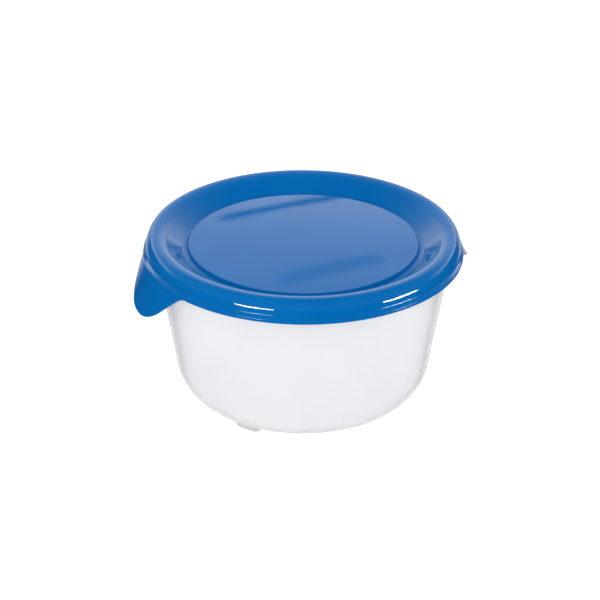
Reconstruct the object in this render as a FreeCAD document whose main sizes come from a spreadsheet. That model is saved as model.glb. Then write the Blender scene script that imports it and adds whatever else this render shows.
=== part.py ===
"""Round snap-lid food tub: a clear tapered tub, a lid that snaps over its rim, and the lid's two pull tabs.

Millimetres, +Z up. The origin is on the table under the middle of the tub, and the tabs lie on the X axis.
Every size is a cell of the sheet "Sizes". A section is a loop of corners in the XZ plane, each with the
radius that rounds it, and is turned about Z.
"""
import FreeCAD, Part
import Sketcher

import math
import os

SIZES = {
    # whole object
    "overall_height": 70.0,
    "foot_drop": 0.5,
    # tub
    "tub_wall": 1.0,
    "tub_floor": 1.4,
    "tub_base_radius": 48.0,
    "tub_mouth_radius": 58.95,
    "tub_corner_round": 17.2,
    "tub_base_rise": 0.9,
    "tub_base_rise_radius": 32.0,
    "tub_line_level": 49.3,
    "tub_line_step": 0.25,
    "rim_depth": 2.4,
    "rim_bead_radius": 59.4,
    "rim_bead_height": 2.4,
    "rim_bead_round": 0.3,
    "rim_outer_round": 0.6,
    "rim_inner_round": 0.4,
    "foot_inner_radius": 34.8,
    "foot_outer_radius": 41.0,
    "foot_inner_top": 1.2,
    "foot_outer_top": 3.0,
    "foot_inner_round": 0.5,
    "foot_outer_round": 1.8,
    "foot_span": 15.0,
    "foot_heading": 38.5,
    # lid
    "lid_wall": 1.2,
    "disc_radius": 44.9,
    "disc_depth": 4.75,
    "disc_dome": 0.8,
    "disc_round": 0.5,
    "channel_radius": 46.0,
    "channel_depth": 7.4,
    "channel_round": 1.5,
    "channel_under_radius": 45.4,
    "channel_under_depth": 9.6,
    "crest_inner_radius": 55.5,
    "crest_outer_radius": 59.4,
    "crest_inner_round": 6.4,
    "crest_outer_round": 2.4,
    "crest_under_radius": 59.1,
    "crest_under_round": 0.5,
    "shoulder_radius": 61.6,
    "shoulder_depth": 3.2,
    "shoulder_round": 6.5,
    "shoulder_under_depth": 4.2,
    "shoulder_under_round": 3.0,
    "skirt_radius": 61.5,
    "skirt_depth": 8.6,
    "lip_radius": 62.7,
    "lip_height": 1.2,
    "lip_flare": 1.3,
    "lip_flare_round": 0.9,
    "lip_inside_flare": 0.6,
    "edge_round": 0.3,
    "snap_bead_radius": 59.8,
    "snap_bead_depth": 6.8,
    "snap_bead_land": 0.4,
    "snap_bead_slope": 0.7,
    "seal_lip_radius": 57.45,
    "seal_lip_depth": 5.4,
    "seal_lip_taper": 0.6,
    "seal_lip_wall": 0.9,
    "seal_lip_root": 0.6,
    # pull tabs
    "tab_wall": 1.2,
    "tab_hinge_radius": 62.4,
    "front_tab_drop": 15.2,
    "front_tab_reach": 5.85,
    "front_tab_tip_half_width": 9.6,
    "rear_tab_drop": 7.6,
    "rear_tab_reach": 4.8,
    "rear_tab_tip_half_width": 10.0,
    "tab_root_half_width": 26.5,
    "tab_neck_half_width": 23.4,
    "tab_neck_drop": 0.8,
    "tab_neck_round": 8.0,
    "tab_tip_round": 19.0,
    "tab_strip_angle": 56.0,
    "tab_strip_spare": 1.1,
}


class Size:
    """A length that knows its value and the sheet expression that gives it."""

    def __init__(self, value, text):
        self.value = value
        self.text = text

    def joined(self, other, sign, value):
        return Size(value, f"({self.text} {sign} {as_size(other).text})")

    def __add__(self, other):
        return self.joined(other, "+", self.value + as_size(other).value)

    def __sub__(self, other):
        return self.joined(other, "-", self.value - as_size(other).value)

    def __mul__(self, other):
        return self.joined(other, "*", self.value * as_size(other).value)

    def __truediv__(self, other):
        return self.joined(other, "/", self.value / as_size(other).value)


def as_size(number):
    """A plain number as a Size; a Size as it is."""
    return number if isinstance(number, Size) else Size(float(number), repr(float(number)))


def cell(alias):
    """The sheet's cell of that alias."""
    return Size(float(SIZES[alias]), f"Sizes.{alias}")


def make_sheet(doc):
    """One row per size: its name in A, its number in B."""
    sheet = doc.addObject("Spreadsheet::Sheet", "Sizes")
    for row, (alias, value) in enumerate(SIZES.items(), start=1):
        sheet.set(f"A{row}", alias)
        sheet.set(f"B{row}", str(value))
        sheet.setAlias(f"B{row}", alias)
    doc.recompute()
    return sheet


def origin_plane(body, role):
    """The body's own origin plane, such as XZ_Plane."""
    return next(item for item in body.Origin.OriginFeatures if item.Role == role)


def unit(start, end):
    """Unit vector from start to end."""
    length = math.hypot(end[0] - start[0], end[1] - start[1])
    return ((end[0] - start[0]) / length, (end[1] - start[1]) / length)


def rounding(before, corner, after, radius):
    """Where a round of that radius leaves both sides of a corner, and the middle of its arc."""
    back = unit(corner, before)
    ahead = unit(corner, after)
    half = math.acos(max(-1.0, min(1.0, back[0] * ahead[0] + back[1] * ahead[1]))) / 2
    reach = radius / math.tan(half)
    middle = unit((0, 0), (back[0] + ahead[0], back[1] + ahead[1]))
    depth = radius / math.sin(half) - radius
    return (
        (corner[0] + back[0] * reach, corner[1] + back[1] * reach),
        (corner[0] + middle[0] * depth, corner[1] + middle[1] * depth),
        (corner[0] + ahead[0] * reach, corner[1] + ahead[1] * reach),
    )


def vector(point):
    return FreeCAD.Vector(point[0], point[1], 0)


def join_points(sketch, side, end_of_side, point):
    """Holds one end of a side on a construction point."""
    sketch.addConstraint(Sketcher.Constraint("Coincident", side, end_of_side, point, 1))


def add_loop(sketch, corners, domed=()):
    """Closes a loop of (across, up, round) corners in a sketch.

    Each corner is a construction point bound to the sheet. The sides run through those points, and a corner
    with a round gets an arc tangent to its two sides. Sides numbered in domed are arcs centred on the up
    axis.
    """
    count = len(corners)
    places = [(as_size(across).value, as_size(up).value) for across, up, _ in corners]
    rounds = [None if size is None else as_size(size) for _, _, size in corners]
    points = []
    for across, up, _ in corners:
        across = as_size(across)
        up = as_size(up)
        point = sketch.addGeometry(Part.Point(FreeCAD.Vector(across.value, up.value, 0)), True)
        for kind, size in (("DistanceX", across), ("DistanceY", up)):
            if size.value == 0:
                axis = -2 if kind == "DistanceX" else -1
                sketch.addConstraint(Sketcher.Constraint("PointOnObject", point, 1, axis))
                continue
            index = sketch.addConstraint(Sketcher.Constraint(kind, -1, 1, point, 1, size.value))
            sketch.setExpression(f"Constraints[{index}]", size.text)
        points.append(point)
    arcs = {}
    for i in range(count):
        if rounds[i] is not None:
            arcs[i] = rounding(places[i - 1], places[i], places[(i + 1) % count], rounds[i].value)
    sides = []
    for i in range(count):
        after = (i + 1) % count
        start = arcs[i][2] if i in arcs else places[i]
        end = arcs[after][0] if after in arcs else places[after]
        sides.append(add_side(sketch, start, end, points[i], points[after], i in domed))
        if i not in arcs:
            join_points(sketch, sides[i][0], sides[i][1], points[i])
        if after not in arcs:
            join_points(sketch, sides[i][0], sides[i][2], points[after])
    for i, (start, middle, end) in arcs.items():
        add_round(sketch, sides[i - 1], sides[i], start, middle, end, rounds[i])


def add_side(sketch, start, end, first, last, dome):
    """A side from start to end through two corner points, as (geometry, start end, end end)."""
    if not dome:
        side = sketch.addGeometry(Part.LineSegment(vector(start), vector(end)), False)
        ends = (1, 2)
    else:
        outer = max((start, end), key=lambda point: point[0])
        top = min((start, end), key=lambda point: point[0])
        drop = max(top[1] - outer[1], 1e-3)
        radius = (outer[0] ** 2 + drop ** 2) / (2 * drop)
        middle = (outer[0] / 2, top[1] - radius + math.sqrt(radius ** 2 - outer[0] ** 2 / 4))
        arc = Part.Arc(vector(outer), vector(middle), vector(top))
        side = sketch.addGeometry(arc, False)
        sketch.addConstraint(Sketcher.Constraint("PointOnObject", side, 3, -2))
        ends = (2, 1) if start == top else (1, 2)
    for point, end_number, place in ((first, ends[0], start), (last, ends[1], end)):
        if not is_at(sketch, point, place):
            sketch.addConstraint(Sketcher.Constraint("PointOnObject", point, 1, side))
    return side, ends[0], ends[1]


def is_at(sketch, point, place):
    """Whether a construction point lies at a place."""
    geometry = sketch.Geometry[point]
    return math.hypot(geometry.X - place[0], geometry.Y - place[1]) < 1e-9


def add_round(sketch, before, after, start, middle, end, radius):
    """An arc tangent to the sides before and after it."""
    arc = sketch.addGeometry(Part.Arc(vector(start), vector(middle), vector(end)), False)
    left = (middle[0] - start[0]) * (end[1] - start[1]) - (middle[1] - start[1]) * (end[0] - start[0]) < 0
    first, last = (2, 1) if left else (1, 2)
    sketch.addConstraint(Sketcher.Constraint("Tangent", arc, first, before[0], before[2]))
    sketch.addConstraint(Sketcher.Constraint("Tangent", arc, last, after[0], after[1]))
    index = sketch.addConstraint(Sketcher.Constraint("Radius", arc, radius.value))
    sketch.setExpression(f"Constraints[{index}]", radius.text)


def new_sketch(body, name, role, offset=None):
    """A sketch on one of the body's own origin planes."""
    sketch = body.newObject("Sketcher::SketchObject", name)
    sketch.AttachmentSupport = (origin_plane(body, role), [""])
    sketch.MapMode = "FlatFace"
    if offset is not None:
        sketch.AttachmentOffset = offset
    return sketch


def turn(body, sketch, name):
    """The sketch turned about its up axis, which is Z: a whole turn until its Angle is set."""
    turned = body.newObject("PartDesign::Revolution", name)
    turned.Profile = sketch
    turned.ReferenceAxis = (sketch, ["V_Axis"])
    turned.Angle = 360
    sketch.Visibility = False
    return turned


def tub_section():
    """Half section of the tub, from the middle of its underside outwards, over the rim and back inside."""
    base = cell("foot_drop")
    floor = base + cell("tub_floor")
    rise = cell("tub_base_rise")
    rise_radius = cell("tub_base_rise_radius")
    top = cell("overall_height") - cell("rim_depth")
    bead = cell("rim_bead_radius")
    bead_bottom = top - cell("rim_bead_height")
    bead_round = cell("rim_bead_round")
    wall = cell("tub_wall")
    line = cell("tub_line_level")
    step = cell("tub_line_step")
    span = top - base
    draft = (cell("tub_mouth_radius") - cell("tub_base_radius")) / span

    def wall_radius(level):
        return cell("tub_base_radius") + draft * (level - base)

    return [
        (0, base + rise, None),
        (rise_radius, base, None),
        (cell("tub_base_radius"), base, cell("tub_corner_round")),
        (wall_radius(bead_bottom), bead_bottom, bead_round),
        (bead, bead_bottom + bead_round, bead_round),
        (bead, top, cell("rim_outer_round")),
        (wall_radius(top) - wall, top, cell("rim_inner_round")),
        (wall_radius(line) - wall, line, None),
        (wall_radius(line) - wall - step, line - step, None),
        (wall_radius(floor) - wall - step, floor, cell("tub_corner_round") - wall),
        (rise_radius, floor, None),
        (0, floor + rise, None),
    ]


def foot_section():
    """Section of a foot, whose top is buried in the rounded corner of the tub."""
    return [
        (cell("foot_inner_radius"), 0, cell("foot_inner_round")),
        (cell("foot_outer_radius"), 0, cell("foot_outer_round")),
        (cell("foot_outer_radius"), cell("foot_outer_top"), None),
        (cell("foot_inner_radius"), cell("foot_inner_top"), None),
    ]


def make_feet(body, name, heading):
    """A foot at a heading about Z, given as a sheet expression, and its twin half a turn away."""
    up_axis_of_sketch = FreeCAD.Vector(0, 1, 0)
    turned_once = FreeCAD.Rotation(up_axis_of_sketch, 1)
    sketch = new_sketch(body, f"{name}_section", "XZ_Plane", FreeCAD.Placement(FreeCAD.Vector(), turned_once))
    sketch.setExpression("AttachmentOffset.Rotation.Angle", heading)
    add_loop(sketch, foot_section())
    foot = turn(body, sketch, name)
    foot.Midplane = True
    foot.setExpression("Angle", "Sizes.foot_span")
    body.Document.recompute()
    pair = body.newObject("PartDesign::PolarPattern", f"{name}_pair")
    pair.Originals = [foot]
    pair.Axis = (sketch, ["V_Axis"])
    pair.Angle = 360
    pair.Occurrences = 2
    body.Tip = pair
    body.Document.recompute()


def make_tub(doc):
    """Thin tapered tub with a domed base, a bead round its rim and four small feet under its round corner."""
    body = doc.addObject("PartDesign::Body", "tub")
    sketch = new_sketch(body, "tub_section", "XZ_Plane")
    corners = tub_section()
    add_loop(sketch, corners, domed=(0, len(corners) - 2))
    turn(body, sketch, "tub_shell")
    doc.recompute()
    make_feet(body, "left_foot", "Sizes.foot_heading")
    make_feet(body, "right_foot", "-Sizes.foot_heading")
    return body


def lid_section():
    """Half section of the lid: over the disc, channel, crest and skirt, then back along the underside."""
    top = cell("overall_height")
    wall = cell("lid_wall")
    edge = cell("edge_round")
    disc = top - cell("disc_depth")
    dome = disc + cell("disc_dome")
    shoulder = cell("shoulder_radius")
    bottom = top - cell("skirt_depth")
    lip = bottom + cell("lip_height")
    skirt_inside = cell("skirt_radius") - wall
    bead = cell("snap_bead_radius")
    bead_level = top - cell("snap_bead_depth")
    land = cell("snap_bead_land") / 2
    seal = cell("seal_lip_radius")
    seal_wall = cell("seal_lip_wall")
    seal_root = seal - seal_wall - cell("seal_lip_root")
    seal_tip = seal - cell("seal_lip_taper")
    seal_bottom = top - cell("seal_lip_depth")
    return [
        (0, dome, None),
        (cell("disc_radius"), disc, cell("disc_round")),
        (cell("channel_radius"), top - cell("channel_depth"), cell("channel_round")),
        (cell("crest_inner_radius"), top, cell("crest_inner_round")),
        (cell("crest_outer_radius"), top, cell("crest_outer_round")),
        (shoulder, top - cell("shoulder_depth"), cell("shoulder_round")),
        (cell("skirt_radius"), lip + cell("lip_flare"), cell("lip_flare_round")),
        (cell("lip_radius"), lip, edge),
        (cell("lip_radius"), bottom, edge / 2),
        (skirt_inside + cell("lip_inside_flare"), bottom, edge),
        (bead, bead_level - land, edge),
        (bead, bead_level + land, edge),
        (skirt_inside, bead_level + land + cell("snap_bead_slope"), edge),
        (shoulder - wall, top - cell("shoulder_under_depth"), cell("shoulder_under_round")),
        (cell("crest_under_radius"), top - wall, cell("crest_under_round")),
        (seal, top - wall, edge),
        (seal_tip, seal_bottom, edge),
        (seal_tip - seal_wall, seal_bottom, edge),
        (seal_root, top - wall, edge),
        (cell("channel_under_radius"), top - cell("channel_under_depth"), cell("channel_round") + wall),
        (cell("disc_radius") - wall, disc - wall, edge),
        (0, dome - wall, None),
    ]


def make_lid(doc):
    """Lid with a domed disc sunk below a raised crest, a skirt with a turned-out lip, and a snap bead."""
    body = doc.addObject("PartDesign::Body", "lid")
    sketch = new_sketch(body, "lid_section", "XZ_Plane")
    corners = lid_section()
    add_loop(sketch, corners, domed=(0, len(corners) - 2))
    turn(body, sketch, "lid_shell")
    return body


def tab_section(kind):
    """Section of a pull tab, front_tab or rear_tab: a strip that hangs from the lip and leans outwards."""
    root = cell("overall_height") - cell("skirt_depth")
    outer = cell("tab_hinge_radius")
    wall = cell("tab_wall")
    spare = cell("tab_strip_spare")
    low = root - cell(f"{kind}_drop") * spare
    out = outer + cell(f"{kind}_reach") * spare
    return [
        (outer - wall, root, None),
        (outer, root, None),
        (out, low, None),
        (out - wall, low, None),
    ]


def tab_outline(kind):
    """Outline of a pull tab seen from outside: a broad tongue with a rounded tip and a splayed root."""
    root = cell("overall_height") - cell("skirt_depth")
    half = [
        (cell("tab_root_half_width"), root, None),
        (cell("tab_neck_half_width"), root - cell("tab_neck_drop"), cell("tab_neck_round")),
        (cell(f"{kind}_tip_half_width"), root - cell(f"{kind}_drop"), cell("tab_tip_round")),
    ]
    mirrored = [(across * -1, up, size) for across, up, size in reversed(half)]
    return half + mirrored


def tab_surround(kind):
    """A frame well outside the tab's outline, so that the trim takes what lies between them."""
    root = cell("overall_height") - cell("skirt_depth")
    width = cell("lip_radius")
    over = root + cell(f"{kind}_drop")
    under = root - cell(f"{kind}_drop") * 2
    return [
        (width, over, None),
        (width * -1, over, None),
        (width * -1, under, None),
        (width, under, None),
    ]


def make_tab(doc, name, kind, heading):
    """One pull tab of its own length, on +X turned by its heading in degrees about Z."""
    body = doc.addObject("PartDesign::Body", name)
    sketch = new_sketch(body, f"{name}_section", "XZ_Plane")
    add_loop(sketch, tab_section(kind))
    strip = turn(body, sketch, f"{name}_strip")
    strip.Midplane = True
    strip.setExpression("Angle", "Sizes.tab_strip_angle")
    doc.recompute()
    before = strip.Shape.Volume
    outline = new_sketch(body, f"{name}_outline", "YZ_Plane")
    add_loop(outline, tab_outline(kind))
    add_loop(outline, tab_surround(kind))
    trim = body.newObject("PartDesign::Pocket", f"{name}_trim")
    trim.Profile = outline
    trim.Type = "ThroughAll"
    trim.Reversed = True
    outline.Visibility = False
    doc.recompute()
    if trim.Shape.Volume > 0.9 * before:
        raise RuntimeError(f"{name}: the trim cut nothing")
    body.Placement = FreeCAD.Placement(FreeCAD.Vector(), FreeCAD.Rotation(FreeCAD.Vector(0, 0, 1), heading))
    return body


def check(doc, bodies):
    """Stops if an object of the document failed or a sub-part has no good shape."""
    for item in doc.Objects:
        if "Invalid" in item.State or "Error" in item.State:
            raise RuntimeError(f"{item.Name} failed: {item.State}")
    for body in bodies:
        if body.Shape.isNull() or not body.Shape.isValid() or len(body.Shape.Solids) != 1:
            raise RuntimeError(f"{body.Label} has no single valid solid")


def main():
    doc = FreeCAD.newDocument("snap_lid_tub")
    make_sheet(doc)
    bodies = [
        make_tub(doc),
        make_lid(doc),
        make_tab(doc, "front_pull_tab", "front_tab", 180),
        make_tab(doc, "rear_pull_tab", "rear_tab", 0),
    ]
    doc.recompute()
    check(doc, bodies)
    os.makedirs("parts", exist_ok=True)
    for body in bodies:
        body.Shape.exportStep(f"parts/{body.Label}.step")
        print(f"{body.Label}: {body.Shape.Volume / 1000:.2f} cm3, {body.Shape.BoundBox}")


if __name__ == "__main__":
    main()
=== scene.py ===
"""Round clear food tub with a blue snap lid and two hanging pull tabs, on a pale floor in soft light.

Metres, +Z up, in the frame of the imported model. Each piece is turned or swept from its own section, and the
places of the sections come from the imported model's boxes. Sizes named here are in millimetres times MM.
"""

import math

import bmesh
import bpy
from mathutils import Matrix, Vector


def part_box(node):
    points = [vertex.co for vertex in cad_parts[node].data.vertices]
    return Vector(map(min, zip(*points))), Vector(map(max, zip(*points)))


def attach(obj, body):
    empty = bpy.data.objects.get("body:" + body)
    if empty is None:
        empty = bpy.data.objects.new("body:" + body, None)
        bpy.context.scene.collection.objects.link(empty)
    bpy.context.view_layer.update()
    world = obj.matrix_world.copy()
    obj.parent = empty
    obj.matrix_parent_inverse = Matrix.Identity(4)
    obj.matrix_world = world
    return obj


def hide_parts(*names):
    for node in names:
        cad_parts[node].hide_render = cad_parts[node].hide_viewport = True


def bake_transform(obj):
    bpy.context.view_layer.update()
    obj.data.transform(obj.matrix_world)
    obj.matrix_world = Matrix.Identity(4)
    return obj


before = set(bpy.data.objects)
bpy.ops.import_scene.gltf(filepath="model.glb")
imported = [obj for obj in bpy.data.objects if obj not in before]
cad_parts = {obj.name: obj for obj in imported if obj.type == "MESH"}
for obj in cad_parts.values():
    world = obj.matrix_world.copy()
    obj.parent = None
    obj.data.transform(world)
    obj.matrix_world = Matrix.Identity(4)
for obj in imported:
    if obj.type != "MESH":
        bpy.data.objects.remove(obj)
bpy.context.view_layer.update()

MM = 0.001

# how finely the sections are divided
ARC_ANGLE = math.radians(9)
ARC_LENGTH = 0.7 * MM
RUN_LENGTH = 2.0 * MM
GUARD = 0.2 * MM
SHORTEST_RUN = 1e-7
TURN_STEPS = 300

# the places every section starts from
LID_LOW, LID_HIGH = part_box("lid")
TUB_LOW, TUB_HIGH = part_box("tub")
TOP = LID_HIGH.z
LIP_BOTTOM = LID_LOW.z
LIP_RADIUS = LID_HIGH.x
RIM_TOP = TUB_HIGH.z

# camera
CAMERA_AZIMUTH = math.radians(-20)
CAMERA_ELEVATION = math.radians(25.33)
CAMERA_DISTANCE = 0.85
CAMERA_LENS = 130.56
AIM_HEIGHT = 39.5 * MM
AIM_LEFT = 1.2 * MM
CAMERA_ROLL = math.radians(0.34)
NEAR_CLIP = 0.01


def rounded(corners):
    """Points along a section of (radius, height, round) corners, with arcs at the rounds."""
    places = [Vector((across, up)) for across, up, _ in corners]
    points = [places[0]]
    for i in range(1, len(corners) - 1):
        back = (places[i - 1] - places[i]).normalized()
        ahead = (places[i + 1] - places[i]).normalized()
        half = back.angle(ahead) / 2
        size = corners[i][2]
        if size == 0:
            add_run(points, places[i])
            continue
        start = places[i] + back * size / math.tan(half)
        centre = places[i] + (back + ahead).normalized() * size / math.sin(half)
        turn = math.pi - 2 * half
        if back.cross(ahead) > 0:
            turn = -turn
        add_run(points, start)
        steps = max(2, math.ceil(abs(turn) / ARC_ANGLE), math.ceil(abs(turn) * size / ARC_LENGTH))
        for step in range(1, steps + 1):
            points.append(centre + Matrix.Rotation(turn * step / steps, 2) @ (start - centre))
    add_run(points, places[-1])
    return points


def add_run(points, end):
    """A straight run to end, divided, with a point close to each of its ends so that it shades flat."""
    start = points[-1]
    run = end - start
    length = run.length
    if length < SHORTEST_RUN:
        return
    if length > 4 * GUARD:
        points.append(start + run * GUARD / length)
        steps = math.ceil((length - 2 * GUARD) / RUN_LENGTH)
        for step in range(1, steps):
            points.append(start + run * (GUARD + (length - 2 * GUARD) * step / steps) / length)
        points.append(end - run * GUARD / length)
    points.append(end)


def new_piece(name, vertices, faces, material):
    """A smooth shaded mesh object with its faces turned outwards."""
    mesh = bpy.data.meshes.new(name)
    mesh.from_pydata(vertices, [], faces)
    work = bmesh.new()
    work.from_mesh(mesh)
    bmesh.ops.recalc_face_normals(work, faces=work.faces)
    work.to_mesh(mesh)
    work.free()
    mesh.shade_smooth()
    mesh.materials.append(material)
    piece = bpy.data.objects.new(name, mesh)
    bpy.context.scene.collection.objects.link(piece)
    return piece


def lathe(name, points, material, shaped=None):
    """A closed piece turned about Z from a section that starts and ends on the axis.

    shaped(index, angle) may give a point of the section another place at some angles.
    """
    ring = range(1, len(points) - 1)
    vertices = [(0, 0, points[0].y), (0, 0, points[-1].y)]
    for step in range(TURN_STEPS):
        angle = 2 * math.pi * step / TURN_STEPS
        for index in ring:
            across, up = shaped(index, angle) if shaped else points[index]
            vertices.append((across * math.cos(angle), across * math.sin(angle), up))
    faces = []
    rows = len(ring)
    for step in range(TURN_STEPS):
        here = 2 + step * rows
        there = 2 + (step + 1) % TURN_STEPS * rows
        faces.append((0, here, there))
        faces.append((1, there + rows - 1, here + rows - 1))
        for row in range(rows - 1):
            faces.append((here + row, here + row + 1, there + row + 1, there + row))
    return new_piece(name, vertices, faces, material)


# ---------------------------------------------------------------- tub

TUB_WALL = 1.0 * MM
TUB_FLOOR = 1.4 * MM
FOOT_DROP = 0.5 * MM
BASE_RADIUS = 48.0 * MM
MOUTH_RADIUS = 58.95 * MM
CORNER_ROUND = 17.2 * MM
BASE_RISE = 0.9 * MM
BASE_RISE_RADIUS = 32.0 * MM
BASE_STEPS = 12
LINE_LEVEL = 49.3 * MM
LINE_STEP = 0.12 * MM
LINE_ROUND = 0.15 * MM
BEAD_HEIGHT = 2.4 * MM
BEAD_ROUND = 0.3 * MM
RIM_OUTER_ROUND = 0.6 * MM
RIM_INNER_ROUND = 0.4 * MM
FOOT_INNER = 34.8 * MM
FOOT_OUTER = 41.0 * MM
FOOT_INNER_ROUND = 0.5 * MM
FOOT_OUTER_ROUND = 1.8 * MM
FOOT_INNER_SPARE = 0.8 * MM
FOOT_OUTER_SPARE = 1.2 * MM
FOOT_HEADING = math.radians(38.5)
FOOT_HALF_SPAN = math.radians(7.5)
FOOT_RAMP = math.radians(6)


def tub_wall_radius(level):
    """Outer radius of the tapered wall at a level."""
    return BASE_RADIUS + (MOUTH_RADIUS - BASE_RADIUS) * (level - FOOT_DROP) / (RIM_TOP - FOOT_DROP)


def dome_points(radius, level, height, steps):
    """Corners along a shallow dome, from the axis to just inside its edge."""
    corners = []
    for step in range(steps):
        across = radius * step / steps
        corners.append((across, level + height * (1 - (across / radius) ** 2), 0))
    return corners


def tub_points():
    """Section of the tub: from the middle of its underside, up outside, over the rim and down inside."""
    base = FOOT_DROP
    floor = base + TUB_FLOOR
    bead_bottom = RIM_TOP - BEAD_HEIGHT
    bead = TUB_HIGH.x
    line = tub_wall_radius(LINE_LEVEL) - TUB_WALL
    inside = tub_wall_radius(floor) - TUB_WALL - LINE_STEP
    return rounded(dome_points(BASE_RISE_RADIUS, base, BASE_RISE, BASE_STEPS) + [
        (BASE_RADIUS, base, CORNER_ROUND),
        (tub_wall_radius(bead_bottom), bead_bottom, BEAD_ROUND),
        (bead, bead_bottom + BEAD_ROUND, BEAD_ROUND),
        (bead, RIM_TOP, RIM_OUTER_ROUND),
        (MOUTH_RADIUS - TUB_WALL, RIM_TOP, RIM_INNER_ROUND),
        (line, LINE_LEVEL, LINE_ROUND),
        (line - LINE_STEP, LINE_LEVEL - LINE_STEP, LINE_ROUND),
        (inside, floor, CORNER_ROUND - TUB_WALL),
    ] + dome_points(BASE_RISE_RADIUS, floor, BASE_RISE, BASE_STEPS)[::-1])


def along(points, part):
    """The place at that part of the whole length of a line of points."""
    lengths = [(b - a).length for a, b in zip(points, points[1:])]
    left = part * sum(lengths)
    for a, b, length in zip(points, points[1:], lengths):
        if left <= length:
            return a.lerp(b, left / length)
        left -= length
    return points[-1]


def smooth(value):
    """Smooth step from 0 to 1."""
    value = max(0.0, min(1.0, value))
    return value * value * (3 - 2 * value)


def make_tub(material):
    """Thin clear tub whose rounded corner swells into four small feet."""
    points = tub_points()
    first = next(i for i, point in enumerate(points) if point.x > FOOT_INNER - FOOT_INNER_SPARE)
    last = next(i for i, point in enumerate(points) if point.x > FOOT_OUTER + FOOT_OUTER_SPARE)
    foot = rounded([
        (points[first].x, points[first].y, 0),
        (FOOT_INNER, 0, FOOT_INNER_ROUND),
        (FOOT_OUTER, 0, FOOT_OUTER_ROUND),
        (points[last].x, points[last].y, 0),
    ])

    def shaped(index, angle):
        if not first < index < last:
            return points[index]
        from_x_axis = abs((angle + math.pi / 2) % math.pi - math.pi / 2)
        off = abs(from_x_axis - FOOT_HEADING)
        weight = smooth((FOOT_HALF_SPAN + FOOT_RAMP / 2 - off) / FOOT_RAMP)
        return points[index].lerp(along(foot, (index - first) / (last - first)), weight)

    tub = lathe("tub_shell", points, material, shaped)
    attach(tub, "tub")
    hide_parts("tub")


# ---------------------------------------------------------------- lid

LID_WALL = 1.2 * MM
EDGE = 0.3 * MM
DISC_RADIUS = 44.9 * MM
DISC_DEPTH = 4.75 * MM
DISC_DOME = 0.8 * MM
DISC_ROUND = 0.5 * MM
DISC_STEPS = 16
CHANNEL_RADIUS = 46.0 * MM
CHANNEL_DEPTH = 7.4 * MM
CHANNEL_ROUND = 1.5 * MM
CREST_INNER = 55.5 * MM
CREST_INNER_ROUND = 6.4 * MM
CREST_OUTER = 59.4 * MM
CREST_OUTER_ROUND = 2.4 * MM
SHOULDER_RADIUS = 61.6 * MM
SHOULDER_DEPTH = 3.2 * MM
SHOULDER_ROUND = 6.5 * MM
SKIRT_RADIUS = 61.5 * MM
LIP_HEIGHT = 1.2 * MM
LIP_FLARE = 1.3 * MM
LIP_FLARE_ROUND = 0.9 * MM
LIP_ROUND = 0.45 * MM
LIP_INSIDE_FLARE = 0.6 * MM

# underside of the lid
SNAP_RADIUS = 59.8 * MM
SNAP_LEVEL = TOP - 6.8 * MM
SNAP_HALF_LAND = 0.2 * MM
SNAP_SLOPE_TOP = 0.9 * MM
SHOULDER_UNDER_DEPTH = 4.2 * MM
SHOULDER_UNDER_ROUND = 3.0 * MM
CREST_UNDER_RADIUS = 59.1 * MM
CREST_UNDER_ROUND = 0.5 * MM
SEAL_RADIUS = 57.45 * MM
SEAL_DEPTH = 5.4 * MM
SEAL_TAPER = 0.6 * MM
SEAL_WALL = 0.9 * MM
CHANNEL_UNDER_RADIUS = 45.4 * MM
CHANNEL_UNDER_DEPTH = 9.6 * MM


def lid_points():
    """Section of the lid: over the disc, channel, crest and skirt, and back along the underside."""
    disc = TOP - DISC_DEPTH
    lip = LIP_BOTTOM + LIP_HEIGHT
    under = TOP - LID_WALL
    inner_skirt = SKIRT_RADIUS - LID_WALL
    seal_tip = SEAL_RADIUS - SEAL_TAPER
    seal_bottom = TOP - SEAL_DEPTH
    return rounded(dome_points(DISC_RADIUS, disc, DISC_DOME, DISC_STEPS) + [
        (DISC_RADIUS, disc, DISC_ROUND),
        (CHANNEL_RADIUS, TOP - CHANNEL_DEPTH, CHANNEL_ROUND),
        (CREST_INNER, TOP, CREST_INNER_ROUND),
        (CREST_OUTER, TOP, CREST_OUTER_ROUND),
        (SHOULDER_RADIUS, TOP - SHOULDER_DEPTH, SHOULDER_ROUND),
        (SKIRT_RADIUS, lip + LIP_FLARE, LIP_FLARE_ROUND),
        (LIP_RADIUS, lip, LIP_ROUND),
        (LIP_RADIUS, LIP_BOTTOM, EDGE / 2),
        (inner_skirt + LIP_INSIDE_FLARE, LIP_BOTTOM, EDGE),
        (SNAP_RADIUS, SNAP_LEVEL - SNAP_HALF_LAND, EDGE),
        (SNAP_RADIUS, SNAP_LEVEL + SNAP_HALF_LAND, EDGE),
        (inner_skirt, SNAP_LEVEL + SNAP_SLOPE_TOP, EDGE),
        (SHOULDER_RADIUS - LID_WALL, TOP - SHOULDER_UNDER_DEPTH, SHOULDER_UNDER_ROUND),
        (CREST_UNDER_RADIUS, under, CREST_UNDER_ROUND),
        (SEAL_RADIUS, under, EDGE),
        (seal_tip, seal_bottom, EDGE),
        (seal_tip - SEAL_WALL, seal_bottom, EDGE),
        (seal_tip - SEAL_WALL, under, EDGE),
        (CHANNEL_UNDER_RADIUS, TOP - CHANNEL_UNDER_DEPTH, CHANNEL_ROUND + LID_WALL),
        (DISC_RADIUS - LID_WALL, disc - LID_WALL, EDGE),
    ] + dome_points(DISC_RADIUS, disc - LID_WALL, DISC_DOME, DISC_STEPS)[::-1])


def make_lid(material):
    """Blue snap lid turned from its section."""
    lid = lathe("lid_shell", lid_points(), material)
    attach(lid, "lid")
    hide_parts("lid")
    return lid


# ---------------------------------------------------------------- pull tabs

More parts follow.
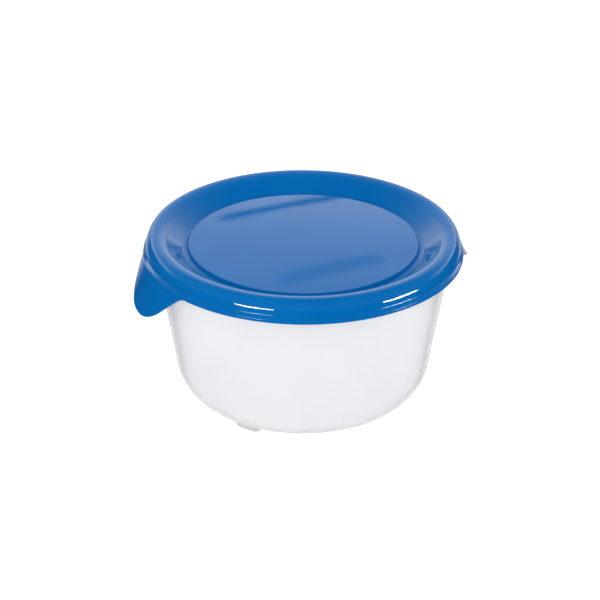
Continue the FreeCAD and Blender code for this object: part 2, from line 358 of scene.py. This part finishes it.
TAB_WALL = 1.2 * MM
TAB_ROOT_RADIUS = 62.4 * MM
TAB_ROOT_HALF = 26.5 * MM
TAB_NECK_HALF = 23.4 * MM
TAB_NECK_DROP = 0.8 * MM
TAB_NECK_ROUND = 8.0 * MM
TAB_TIP_ROUND = 19.0 * MM
# half width at the tip, drop and outward reach
FRONT_TAB = (9.6 * MM, 15.2 * MM, 5.85 * MM)
REAR_TAB = (10.0 * MM, 7.6 * MM, 4.8 * MM)
TAB_SINK = 0.8 * MM
TAB_EDGE_ROUND = 0.45 * MM
TAB_ROWS = 12
TAB_EDGE_STEPS = 4


def tab_outline(tip_half, drop):
    """Edge of a tab as (across, drop) points, from one end of its root round the tip to the other."""
    return rounded([
        (-TAB_ROOT_HALF, 0, 0),
        (-TAB_NECK_HALF, TAB_NECK_DROP, TAB_NECK_ROUND),
        (-tip_half, drop, TAB_TIP_ROUND),
        (tip_half, drop, TAB_TIP_ROUND),
        (TAB_NECK_HALF, TAB_NECK_DROP, TAB_NECK_ROUND),
        (TAB_ROOT_HALF, 0, 0),
    ])


def tab_ring(edge, inward):
    """Places (across, drop, depth below the outer face) round a tab's section at one point of its outline."""
    root = Vector((edge.x, -TAB_SINK))
    start = edge + inward * TAB_EDGE_ROUND
    front = []
    for row in range(TAB_ROWS):
        place = root.lerp(start, row / TAB_ROWS)
        front.append((place.x, place.y, 0))
    for step in range(TAB_EDGE_STEPS + 1):
        angle = math.pi / 2 * step / TAB_EDGE_STEPS
        place = edge + inward * TAB_EDGE_ROUND * (1 - math.sin(angle))
        front.append((place.x, place.y, TAB_EDGE_ROUND * (1 - math.cos(angle))))
    back = [(across, drop, TAB_WALL - depth) for across, drop, depth in reversed(front)]
    return front + back


def make_tab(name, side, node, size, material):
    """One pull tab of a (tip half width, drop, reach): a thin tongue that hangs from the lip and leans
    outward as it drops.
    """
    tip_half, tab_drop, reach = size
    outline = tab_outline(tip_half, tab_drop)
    vertices = []
    for i, edge in enumerate(outline):
        ahead = outline[min(i + 1, len(outline) - 1)] - outline[max(i - 1, 0)]
        inward = Vector((ahead.y, -ahead.x)).normalized()
        for across, drop, depth in tab_ring(edge, inward):
            radius = TAB_ROOT_RADIUS + reach * drop / tab_drop - depth
            out = math.sqrt(radius ** 2 - across ** 2)
            vertices.append((side * out, across, LIP_BOTTOM - drop))
    count = len(vertices) // len(outline)
    faces = [tuple(range(count)), tuple(range(len(vertices) - count, len(vertices)))]
    for i in range(len(outline) - 1):
        for k in range(count):
            after = (k + 1) % count
            faces.append((i * count + k, i * count + after, (i + 1) * count + after, (i + 1) * count + k))
    tab = new_piece(name, vertices, faces, material)
    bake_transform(tab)
    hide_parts(node)
    return tab


# ---------------------------------------------------------------- materials

BLUE_TONES = ((0.0006, 0.118, 0.383, 1), (0.0009, 0.132, 0.412, 1))
CLEAR_TONES = ((0.93, 0.934, 0.94, 1), (0.955, 0.958, 0.963, 1))
CLEAR_SHADOW = (0.95, 0.96, 0.97, 1)
PAPER_TONES = ((0.6, 0.6, 0.6, 1), (0.62, 0.62, 0.62, 1))
PAPER_GLOW = 0.58
# the tub's tone is darkened towards its base, painted shade for the shadow seen through its lower part: both
# levels, and its tone at the lower one
SHADED_BASE_LEVELS = (4 * MM, 45 * MM)
SHADED_BASE_TONE = 0.955
UPRIGHT_CLOUDS = (1, 1, 0.35)
UPRIGHT_FLOW = (1, 1, 0.3)


def new_material(name):
    """A node material, its node tree and its main shader."""
    material = bpy.data.materials.new(name)
    material.use_nodes = True
    tree = material.node_tree
    shader = next(node for node in tree.nodes if node.type == "BSDF_PRINCIPLED")
    return material, tree, shader


def add_noise(tree, scale, detail, stretch=(1, 1, 1)):
    """Noise in object space, in features per metre, and its Fac socket."""
    coordinates = tree.nodes.new("ShaderNodeTexCoord")
    mapping = tree.nodes.new("ShaderNodeMapping")
    mapping.inputs["Scale"].default_value = stretch
    noise = tree.nodes.new("ShaderNodeTexNoise")
    noise.inputs["Scale"].default_value = scale
    noise.inputs["Detail"].default_value = detail
    tree.links.new(coordinates.outputs["Object"], mapping.inputs["Vector"])
    tree.links.new(mapping.outputs["Vector"], noise.inputs["Vector"])
    return noise.outputs["Fac"]


def add_tones(tree, value, tones, start=0.0, end=1.0):
    """A colour between two tones, for a value between start and end."""
    ramp = tree.nodes.new("ShaderNodeValToRGB")
    for element, place, tone in zip(ramp.color_ramp.elements, (start, end), tones):
        element.position = place
        element.color = tone
    tree.links.new(value, ramp.inputs["Fac"])
    return ramp.outputs["Color"]


def add_range(tree, value, low, high):
    """A 0 to 1 value spread between low and high."""
    spread = tree.nodes.new("ShaderNodeMapRange")
    spread.inputs["To Min"].default_value = low
    spread.inputs["To Max"].default_value = high
    tree.links.new(value, spread.inputs["Value"])
    return spread.outputs["Result"]


def add_bump(tree, height, distance, under=None):
    """A bump of that height in metres, on top of another bump's normal if one is given."""
    bump = tree.nodes.new("ShaderNodeBump")
    bump.inputs["Distance"].default_value = distance
    tree.links.new(height, bump.inputs["Height"])
    if under is not None:
        tree.links.new(under, bump.inputs["Normal"])
    return bump.outputs["Normal"]


def blue_plastic():
    """Glossy blue polyethylene: faint colour clouds, moulded ripple and a fine skin."""
    material, tree, shader = new_material("blue_plastic_moulded")
    tone = add_tones(tree, add_noise(tree, 38, 3), BLUE_TONES, 0.3, 0.7)
    tree.links.new(tone, shader.inputs["Base Color"])
    shader.inputs["IOR"].default_value = 1.5
    shader.inputs["Specular IOR Level"].default_value = 0.15
    tree.links.new(add_range(tree, add_noise(tree, 160, 4), 0.02, 0.06), shader.inputs["Roughness"])
    ripple = add_bump(tree, add_noise(tree, 30, 1), 0.06 * MM)
    skin = add_bump(tree, add_noise(tree, 1400, 2), 0.002 * MM, ripple)
    tree.links.new(skin, shader.inputs["Normal"])
    return material


def clear_plastic():
    """Milky polypropylene: darkened towards its base by painted shade, with slow flow lines, and it lets
    lamps through.
    """
    material, tree, shader = new_material("clear_plastic_moulded")
    shader.inputs["IOR"].default_value = 1.49
    shader.inputs["Roughness"].default_value = 0.14
    shader.inputs["Transmission Weight"].default_value = 0.68
    tone = add_tones(tree, add_noise(tree, 24, 3, UPRIGHT_CLOUDS), CLEAR_TONES)
    coordinates = tree.nodes.new("ShaderNodeTexCoord")
    split = tree.nodes.new("ShaderNodeSeparateXYZ")
    tree.links.new(coordinates.outputs["Object"], split.inputs["Vector"])
    # painted shade: the tone is scaled darker towards the tub's base
    base_painted_shade = tree.nodes.new("ShaderNodeVectorMath")
    base_painted_shade.operation = "SCALE"
    tree.links.new(tone, base_painted_shade.inputs["Vector"])
    tree.links.new(add_step(tree, split.outputs["Z"], *SHADED_BASE_LEVELS, SHADED_BASE_TONE, 1), base_painted_shade.inputs["Scale"])
    tree.links.new(base_painted_shade.outputs["Vector"], shader.inputs["Base Color"])
    flow = add_bump(tree, add_noise(tree, 34, 2, UPRIGHT_FLOW), 0.05 * MM)
    tree.links.new(flow, shader.inputs["Normal"])
    light_path = tree.nodes.new("ShaderNodeLightPath")
    clear = tree.nodes.new("ShaderNodeBsdfTransparent")
    clear.inputs["Color"].default_value = CLEAR_SHADOW
    mix = tree.nodes.new("ShaderNodeMixShader")
    output = next(node for node in tree.nodes if node.type == "OUTPUT_MATERIAL")
    tree.links.new(light_path.outputs["Is Shadow Ray"], mix.inputs["Fac"])
    tree.links.new(shader.outputs["BSDF"], mix.inputs[1])
    tree.links.new(clear.outputs["BSDF"], mix.inputs[2])
    tree.links.new(mix.outputs["Shader"], output.inputs["Surface"])
    return material


def floor_material():
    """Matt pale studio paper with a strong glow of its own, so that it stays white under the tub."""
    material, tree, shader = new_material("floor_paper")
    tree.links.new(add_tones(tree, add_noise(tree, 60, 2), PAPER_TONES), shader.inputs["Base Color"])
    shader.inputs["Roughness"].default_value = 0.9
    shader.inputs["Specular IOR Level"].default_value = 0.1
    shader.inputs["Emission Color"].default_value = (1, 1, 1, 1)
    shader.inputs["Emission Strength"].default_value = PAPER_GLOW
    return material


# ---------------------------------------------------------------- stage, light and camera

FLOOR_HALF = 3.0
FLOOR_LEVEL = -0.1 * MM
SUN_DISTANCE = 2
# brightness of the surround at the sine of each height, and of the parts that glossy sides mirror
SKY = ((-1.0, 0.12), (0.05, 0.12), (0.12, 1.8), (0.35, 2.0), (0.42, 1.5), (0.5, 1.35), (0.7, 0.7), (1.0, 0.3))
FRONT_DIM = 0.2
BACK_GLOW = 0.75
SIDE_GLOW = 2.5
GROUND_GLOW = 0.9
# where those parts fade: by how far a direction points to the back, or by the sine of its height
BRIGHT_LEAN = Vector((0, 0, 0.6))
BRIGHT_EDGE = (0.55, 1)
BACK_EDGE = (0.78, 0.92)
BACK_TOP = (0.2, 0.35)
SIDE_OUTER = (0.1, 0.4)
SIDE_INNER = (0.7, 0.88)
SIDE_BOTTOM = (0.07, 0.13)
SIDE_TOP = (0.22, 0.32)
GROUND_EDGE = (-0.62, -0.5)
# dark bars in the surround: their full part, the part of their length that tapers, and for each bar both ends
# in degrees across and up, then thickness and depth
STREAK_CORE = 0.3
STREAK_TAPER = 0.5
STREAKS = (
    ((-4.2, 23.35), (2.3, 20.05), 0.008, 1.0),
    ((-1.6, 30.0), (4.2, 26.9), 0.014, 0.5),
)
# name, azimuth and elevation in degrees, strength, and width in degrees
SUNS = (
    ("overhead", 20, 70, 1.35, 110),
    ("front_fill", -10, 40, 1.5, 90),
)
# name, azimuth and elevation in degrees, width and height in metres, and watts
STRIPS = (
    ("left_strip", -32.5, -3, 0.5, 0.1, 20),
    ("right_strip", 69, -4.5, 0.52, 0.14, 28),
)


def make_floor():
    """A wide pale floor under the feet, left out of mirror reflections."""
    corners = [(x * FLOOR_HALF, y * FLOOR_HALF, FLOOR_LEVEL) for x, y in ((-1, -1), (1, -1), (1, 1), (-1, 1))]
    floor = new_piece("floor", corners, [(0, 1, 2, 3)], floor_material())
    floor.visible_glossy = False


def direction(azimuth, elevation):
    """Unit vector towards a place, its azimuth counted from the camera's side of the object."""
    turn = CAMERA_AZIMUTH + azimuth
    return Vector((
        math.sin(turn) * math.cos(elevation),
        -math.cos(turn) * math.cos(elevation),
        math.sin(elevation),
    ))


def compare(tree, vector, target):
    """How far a direction points towards a target, as a dot product."""
    facing = tree.nodes.new("ShaderNodeVectorMath")
    facing.operation = "DOT_PRODUCT"
    facing.inputs[1].default_value = target
    tree.links.new(vector, facing.inputs[0])
    return facing.outputs["Value"]


def add_step(tree, value, start, end, low, high):
    """Low up to start, high from end, and a smooth step between them."""
    step = tree.nodes.new("ShaderNodeMapRange")
    step.interpolation_type = "SMOOTHSTEP"
    step.inputs["From Min"].default_value = start
    step.inputs["From Max"].default_value = end
    step.inputs["To Min"].default_value = low
    step.inputs["To Max"].default_value = high
    tree.links.new(value, step.inputs["Value"])
    return step.outputs["Result"]


def combine(tree, operation, first, second):
    """Two values put together by a maths node."""
    node = tree.nodes.new("ShaderNodeMath")
    node.operation = operation
    tree.links.new(first, node.inputs[0])
    tree.links.new(second, node.inputs[1])
    return node.outputs["Value"]


def add_sky(tree, height):
    """Brightness of the surround by height: dark below the horizon, bright above it, dimmer overhead."""
    ramp = tree.nodes.new("ShaderNodeValToRGB")
    elements = ramp.color_ramp.elements
    while len(elements) < len(SKY):
        elements.new(0.5)
    for element, (place, tone) in zip(elements, SKY):
        element.position = (place + 1) / 2
        element.color = (tone, tone, tone, 1)
    raised = tree.nodes.new("ShaderNodeMapRange")
    raised.inputs["From Min"].default_value = -1
    tree.links.new(height, raised.inputs["Value"])
    tree.links.new(raised.outputs["Result"], ramp.inputs["Fac"])
    return ramp.outputs["Color"]


def add_streak(tree, vector, start, end, thickness, depth):
    """A dark bar in the surround between two directions, as a factor on its brightness."""
    normal = start.cross(end).normalized()
    middle = (start + end).normalized()
    reach = middle.dot(end)
    across = tree.nodes.new("ShaderNodeMath")
    across.operation = "ABSOLUTE"
    tree.links.new(compare(tree, vector, normal), across.inputs[0])
    beside = add_step(tree, across.outputs["Value"], STREAK_CORE * thickness, thickness, depth, 0)
    within = add_step(tree, compare(tree, vector, middle), reach, 1 - STREAK_TAPER * (1 - reach), 0, 1)
    bar = combine(tree, "MULTIPLY", beside, within)
    return add_step(tree, bar, 0, 1, 1, 0)


def add_level(tree, vector):
    """A direction's heading: the same direction laid level."""
    flat = tree.nodes.new("ShaderNodeVectorMath")
    flat.operation = "MULTIPLY"
    flat.inputs[1].default_value = (1, 1, 0)
    tree.links.new(vector, flat.inputs[0])
    level = tree.nodes.new("ShaderNodeVectorMath")
    level.operation = "NORMALIZE"
    tree.links.new(flat.outputs["Vector"], level.inputs[0])
    return level.outputs["Vector"]


def add_back(tree, away, height):
    """A low glow straight behind the object, which draws the outlines of the tub."""
    back = add_step(tree, away, *BACK_EDGE, 0, 1)
    return combine(tree, "MULTIPLY", back, add_step(tree, height, *BACK_TOP, BACK_GLOW, 0))


def add_sides(tree, away, height, glossy):
    """Low panels behind the object on both sides, seen only by glossy surfaces."""
    sides = add_step(tree, away, *SIDE_OUTER, 0, 1)
    sides = combine(tree, "MULTIPLY", sides, add_step(tree, away, *SIDE_INNER, 1, 0))
    sides = combine(tree, "MULTIPLY", sides, add_step(tree, height, *SIDE_BOTTOM, 0, SIDE_GLOW))
    sides = combine(tree, "MULTIPLY", sides, add_step(tree, height, *SIDE_TOP, 1, 0))
    return combine(tree, "MULTIPLY", sides, glossy)


def make_world():
    """Soft surround: bright behind the object, dimmer overhead and in front, and white to the camera."""
    world = bpy.data.worlds.new("studio")
    bpy.context.scene.world = world
    world.use_nodes = True
    tree = world.node_tree
    background = next(node for node in tree.nodes if node.type == "BACKGROUND")
    background.inputs["Color"].default_value = (1, 1, 1, 1)
    vector = tree.nodes.new("ShaderNodeTexCoord").outputs["Generated"]
    split = tree.nodes.new("ShaderNodeSeparateXYZ")
    tree.links.new(vector, split.inputs["Vector"])
    height = split.outputs["Z"]
    light_path = tree.nodes.new("ShaderNodeLightPath")
    behind = direction(math.pi, 0)
    side = add_step(tree, compare(tree, vector, behind + BRIGHT_LEAN), *BRIGHT_EDGE, FRONT_DIM, 1)
    sky = combine(tree, "MULTIPLY", add_sky(tree, height), side)
    for start, end, thickness, depth in STREAKS:
        ends = [direction(math.pi - math.radians(across), math.radians(up)) for across, up in (start, end)]
        sky = combine(tree, "MULTIPLY", sky, add_streak(tree, vector, *ends, thickness, depth))
    away = compare(tree, add_level(tree, vector), behind)
    sky = combine(tree, "ADD", sky, add_sides(tree, away, height, light_path.outputs["Is Glossy Ray"]))
    ground = add_step(tree, height, *GROUND_EDGE, GROUND_GLOW, 0)
    low = combine(tree, "MAXIMUM", add_back(tree, away, height), ground)
    glow = combine(tree, "MAXIMUM", sky, low)
    strength = combine(tree, "MAXIMUM", glow, light_path.outputs["Is Camera Ray"])
    tree.links.new(strength, background.inputs["Strength"])


def aim(thing, place, target):
    """Puts a lamp or camera at a place, looking at a target."""
    thing.location = place
    thing.rotation_euler = (Vector(target) - Vector(place)).to_track_quat("-Z", "Y").to_euler()


def make_sun(name, azimuth, elevation, strength, spread):
    """A very wide soft light that leaves no mirror image of itself."""
    lamp = bpy.data.lights.new(name, "SUN")
    lamp.energy = strength
    lamp.angle = math.radians(spread)
    sun = bpy.data.objects.new(name, lamp)
    bpy.context.scene.collection.objects.link(sun)
    aim(sun, direction(math.radians(azimuth), math.radians(elevation)) * SUN_DISTANCE, (0, 0, 0))
    sun.visible_glossy = False


def make_strip(name, azimuth, elevation, width, height, power):
    """A bright strip that shows only as a highlight on glossy surfaces."""
    lamp = bpy.data.lights.new(name, "AREA")
    lamp.shape = "ELLIPSE"
    lamp.size = width
    lamp.size_y = height
    lamp.energy = power
    strip = bpy.data.objects.new(name, lamp)
    bpy.context.scene.collection.objects.link(strip)
    middle = Vector((0, 0, TOP))
    aim(strip, middle + direction(math.radians(azimuth), math.radians(elevation)), middle)
    strip.visible_diffuse = False
    return strip


def make_camera():
    """The camera at the photograph's angle."""
    lens = bpy.data.cameras.new("camera")
    lens.lens = CAMERA_LENS
    lens.clip_start = NEAR_CLIP
    camera = bpy.data.objects.new("camera", lens)
    bpy.context.scene.collection.objects.link(camera)
    left = direction(-math.pi / 2, 0)
    place = Vector((0, 0, TOP)) + direction(0, CAMERA_ELEVATION) * CAMERA_DISTANCE
    aim(camera, place, Vector((0, 0, AIM_HEIGHT)) + left * AIM_LEFT)
    rolled = camera.rotation_euler.to_matrix() @ Matrix.Rotation(CAMERA_ROLL, 3, "Z")
    camera.rotation_euler = rolled.to_euler()
    bpy.context.scene.camera = camera


def make_light():
    """Even soft light, and two strips for the highlights on the blue pieces: the group that they light."""
    make_world()
    for sun in SUNS:
        make_sun(*sun)
    receivers = bpy.data.collections.new("strip_receivers")
    for strip in STRIPS:
        make_strip(*strip).light_linking.receiver_collection = receivers
    bpy.context.scene.view_settings.view_transform = "Standard"
    return receivers


make_camera()
receivers = make_light()
make_floor()
blue = blue_plastic()
make_tub(clear_plastic())
for piece in (
    make_lid(blue),
    make_tab("front_tab_tongue", -1, "front_pull_tab", FRONT_TAB, blue),
    make_tab("rear_tab_tongue", 1, "rear_pull_tab", REAR_TAB, blue),
):
    receivers.objects.link(piece)
